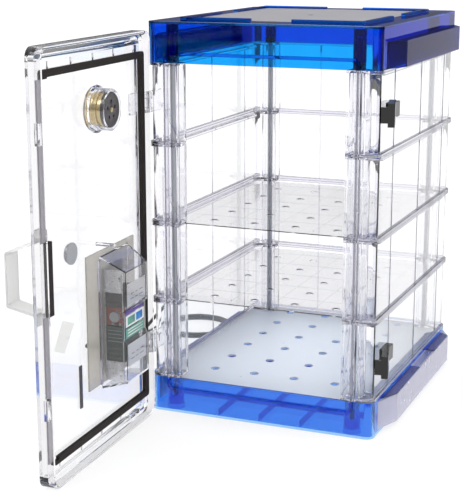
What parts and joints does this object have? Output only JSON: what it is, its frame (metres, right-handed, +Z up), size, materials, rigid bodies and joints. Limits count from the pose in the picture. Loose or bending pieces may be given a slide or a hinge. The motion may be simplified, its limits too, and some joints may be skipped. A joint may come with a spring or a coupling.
{
  "type": "desiccator cabinet",
  "caption": "Clear stacking desiccator cabinet with blue caps, perforated shelves, side latches and a gasketed hinged door that carries a hygrometer and a mains dryer unit.",
  "frame": {"origin": "centre of the base cap's flat underside, at floor height", "axes": "+Z up, +X to the right and -Y out of the open front, as seen by someone facing the front"},
  "size_m": [0.5221, 0.7663, 0.549],
  "materials": {
    "clear_plastic": "clear moulded plastic, polished",
    "blue_plastic": "transparent deep blue, polished",
    "pale_blue_plastic": "transparent blue, polished and frosted",
    "steel": "brushed and turned steel",
    "brass": "lacquered brass",
    "black_plastic": "black moulded plastic",
    "black_rubber": "soft foam rubber seal",
    "cord_rubber": "matt black cord sheath",
    "grey_rubber": "grey rubber",
    "dark_metal": "dark grey coated metal",
    "red_board": "red circuit board",
    "green_case": "dark green moulded case",
    "white_card": "white card"
  },
  "bodies": {
    "cabinet": {"base_cap": "pale_blue_plastic", "top_cap": "blue_plastic", "tier_1": "clear_plastic", "tier_2": "clear_plastic", "tier_3": "clear_plastic", "tier_4": "clear_plastic", "tie_rod_front_left": "steel", "tie_rod_front_right": "steel", "tie_rod_rear_left": "steel", "tie_rod_rear_right": "steel", "rod_nut_front_left": "black_plastic", "rod_nut_front_right": "black_plastic", "rod_nut_rear_left": "black_plastic", "rod_nut_rear_right": "black_plastic", "shelf_lower": "clear_plastic", "shelf_upper": "clear_plastic", "floor_tray": "clear_plastic", "hinge_bracket_lower": "clear_plastic", "hinge_bracket_upper": "clear_plastic", "hinge_pin_lower": "steel", "hinge_pin_upper": "steel", "latch_base_lower": "black_plastic", "latch_base_upper": "black_plastic", "latch_pin_lower": "steel", "latch_pin_upper": "steel", "cord_lead": "cord_rubber", "cord_coil": "cord_rubber", "cord_tail": "cord_rubber", "power_plug": "black_plastic"},
    "door": {"door_shell": "clear_plastic", "door_handle": "clear_plastic", "door_gasket": "black_rubber", "hinge_leaf_lower": "clear_plastic", "hinge_leaf_upper": "clear_plastic", "hygrometer_collar": "clear_plastic", "hygrometer_case": "brass", "hygrometer_back": "black_plastic", "hygrometer_dial": "white_card", "hygrometer_arbor": "steel", "hygrometer_lens": "clear_plastic", "port_plug": "grey_rubber", "indicator_strip": "dark_metal", "dryer_back_plate": "clear_plastic", "dryer_cover": "clear_plastic", "dryer_chassis": "steel", "dryer_screw_upper": "steel", "dryer_screw_lower": "steel", "dryer_heater": "dark_metal", "dryer_circuit_board": "red_board", "desiccant_cartridge": "green_case", "dryer_thermostat": "grey_rubber", "dryer_label_panel": "white_card", "dryer_peg": "clear_plastic", "dryer_outer_vent": "black_plastic", "cord_gland": "black_plastic"},
    "latch_clip_upper": {"latch_clip_upper": "black_plastic"},
    "latch_clip_lower": {"latch_clip_lower": "black_plastic"},
    "needle": {"hygrometer_needle": "black_plastic"}
  },
  "joints": [
    {"name": "door_swing", "type": "hinge", "parent": "cabinet", "child": "door", "pos_m": [-0.1561, -0.2048, 0.2685], "axis": [0, 0, 1], "range_deg": [0, 88]},
    {"name": "latch_upper_swing", "type": "hinge", "parent": "cabinet", "child": "latch_clip_upper", "pos_m": [0.168, -0.16, 0.437], "axis": [0, 0, 1], "range_deg": [-14, 90]},
    {"name": "latch_lower_swing", "type": "hinge", "parent": "cabinet", "child": "latch_clip_lower", "pos_m": [0.168, -0.16, 0.107], "axis": [0, 0, 1], "range_deg": [-14, 90]},
    {"name": "needle_sweep", "type": "hinge", "parent": "door", "child": "needle", "pos_m": [-0.15667, -0.3544, 0.4465], "axis": [-0.9995, -0.033, 0], "range_deg": [-120, 120]}
  ]
}
